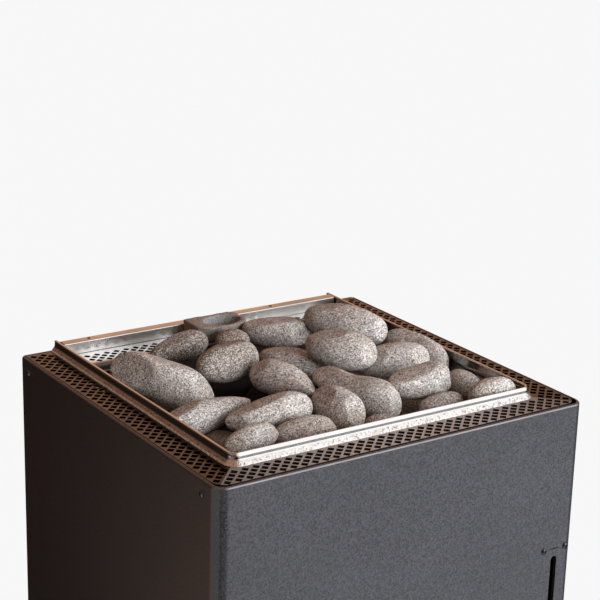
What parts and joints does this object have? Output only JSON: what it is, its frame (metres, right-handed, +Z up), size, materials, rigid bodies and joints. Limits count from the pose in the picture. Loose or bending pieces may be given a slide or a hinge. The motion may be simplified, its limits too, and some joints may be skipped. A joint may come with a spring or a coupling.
{
  "type": "electric sauna heater with stones and steamer",
  "caption": "Floor-standing electric sauna heater: square cabinet with perforated top bands, a stainless collar round loose rounded stones, a perforated steamer lid and a stone scent bowl",
  "frame": {"origin": "on the floor under the middle of the cabinet", "axes": "+Z up, the cabinet's plain front with the sight slot faces -Y, +X is the heater's side with the sight slot"},
  "size_m": [0.4136, 0.3856, 0.7617],
  "materials": {
    "powder_coat": "fine textured charcoal powder coat",
    "band_coat": "satin dark coat, bronze in warm light",
    "stainless": "bright stainless sheet",
    "dark_steel": "heat-darkened steel sheet",
    "element_steel": "heat-tinted tube",
    "zinc": "zinc-coated sheet",
    "black_screw": "blackened",
    "sauna_stone": "tumbled, salt-and-pepper grain, matte",
    "soapstone": "carved, matte",
    "gauge_glass": "clear",
    "float_red": "satin red",
    "black_plastic": "matte",
    "brass": "plain"
  },
  "bodies": {
    "heater": {"casing_wrap": "powder_coat", "back_panel": "powder_coat", "top_band_left": "band_coat", "top_band_front": "band_coat", "top_band_right": "band_coat", "collar_wrap": "stainless", "collar_back_rail": "stainless", "water_tank": "stainless", "gauge_pipe": "stainless", "stone_basket": "dark_steel", "stone_grate": "dark_steel", "heating_element_1": "element_steel", "heating_element_2": "element_steel", "heating_element_3": "element_steel", "steam_element": "element_steel", "inner_frame": "zinc", "terminal_box": "zinc", "base_plate": "zinc", "gauge_bracket": "zinc", "cable_gland": "black_plastic", "casing_screw_left_front": "black_screw", "casing_screw_left_back": "black_screw", "casing_screw_right_front": "black_screw", "casing_screw_right_back": "black_screw", "sight_screw_left": "black_screw", "sight_screw_right": "black_screw", "gauge_tube": "gauge_glass", "drain_valve": "brass", "stone_pointed_back": "sauna_stone", "stone_back_middle": "sauna_stone", "stone_beside_bowl": "sauna_stone", "stone_slab_right": "sauna_stone", "stone_right_wall": "sauna_stone", "stone_centre_pointed": "sauna_stone", "stone_centre_fat_left": "sauna_stone", "stone_waisted": "sauna_stone", "stone_long_front_left": "sauna_stone", "stone_left_wall": "sauna_stone", "stone_front_corner_right": "sauna_stone", "stone_front_right": "sauna_stone", "stone_right_low": "sauna_stone", "stone_dome_front": "sauna_stone", "stone_dome_front_left": "sauna_stone", "stone_front_low": "sauna_stone", "lower_stones": "sauna_stone"},
    "steamer_lid": {"steam_lid": "stainless"},
    "scent_bowl": {"aroma_bowl": "soapstone"},
    "level_float": {"gauge_float": "float_red"},
    "drain_handle": {"drain_lever": "float_red"},
    "foot_front_left_body": {"foot_front_left": "black_plastic"},
    "foot_front_right_body": {"foot_front_right": "black_plastic"},
    "foot_back_left_body": {"foot_back_left": "black_plastic"},
    "foot_back_right_body": {"foot_back_right": "black_plastic"},
    "stone_high_back_right_body": {"stone_high_back_right": "sauna_stone"},
    "stone_high_middle_body": {"stone_high_middle": "sauna_stone"},
    "stone_tall_back_left_body": {"stone_tall_back_left": "sauna_stone"},
    "stone_long_left_body": {"stone_long_left": "sauna_stone"},
    "stone_block_right_body": {"stone_block_right": "sauna_stone"},
    "stone_egg_front_body": {"stone_egg_front": "sauna_stone"}
  },
  "joints": [
    {"name": "steamer_lid_lift", "type": "slide", "parent": "heater", "child": "steamer_lid", "axis": [0, 0, 1], "range_m": [0, 0.12]},
    {"name": "scent_bowl_lift", "type": "slide", "parent": "steamer_lid", "child": "scent_bowl", "axis": [0, 0, 1], "range_m": [0, 0.1]},
    {"name": "level_float_rise", "type": "slide", "parent": "heater", "child": "level_float", "axis": [0, 0, 1], "range_m": [0, 0.19]},
    {"name": "drain_handle_turn", "type": "hinge", "parent": "heater", "child": "drain_handle", "pos_m": [0.12, 0.157, 0.032], "axis": [0, 0, 1], "range_deg": [0, 90]},
    {"name": "foot_front_left_screw_out", "type": "slide", "parent": "heater", "child": "foot_front_left_body", "axis": [0, 0, -1], "range_m": [0, 0.02]},
    {"name": "foot_front_right_screw_out", "type": "slide", "parent": "heater", "child": "foot_front_right_body", "axis": [0, 0, -1], "range_m": [0, 0.02]},
    {"name": "foot_back_left_screw_out", "type": "slide", "parent": "heater", "child": "foot_back_left_body", "axis": [0, 0, -1], "range_m": [0, 0.02]},
    {"name": "foot_back_right_screw_out", "type": "slide", "parent": "heater", "child": "foot_back_right_body", "axis": [0, 0, -1], "range_m": [0, 0.02]},
    {"name": "stone_high_back_right_lift", "type": "slide", "parent": "heater", "child": "stone_high_back_right_body", "axis": [0, 0, 1], "range_m": [0, 0.15]},
    {"name": "stone_high_middle_lift", "type": "slide", "parent": "heater", "child": "stone_high_middle_body", "axis": [0, 0, 1], "range_m": [0, 0.15]},
    {"name": "stone_tall_back_left_lift", "type": "slide", "parent": "heater", "child": "stone_tall_back_left_body", "axis": [0, 0, 1], "range_m": [0, 0.15]},
    {"name": "stone_long_left_lift", "type": "slide", "parent": "heater", "child": "stone_long_left_body", "axis": [0, 0, 1], "range_m": [0, 0.15]},
    {"name": "stone_block_right_lift", "type": "slide", "parent": "heater", "child": "stone_block_right_body", "axis": [0, 0, 1], "range_m": [0, 0.15]},
    {"name": "stone_egg_front_lift", "type": "slide", "parent": "heater", "child": "stone_egg_front_body", "axis": [0, 0, 1], "range_m": [0, 0.15]}
  ]
}
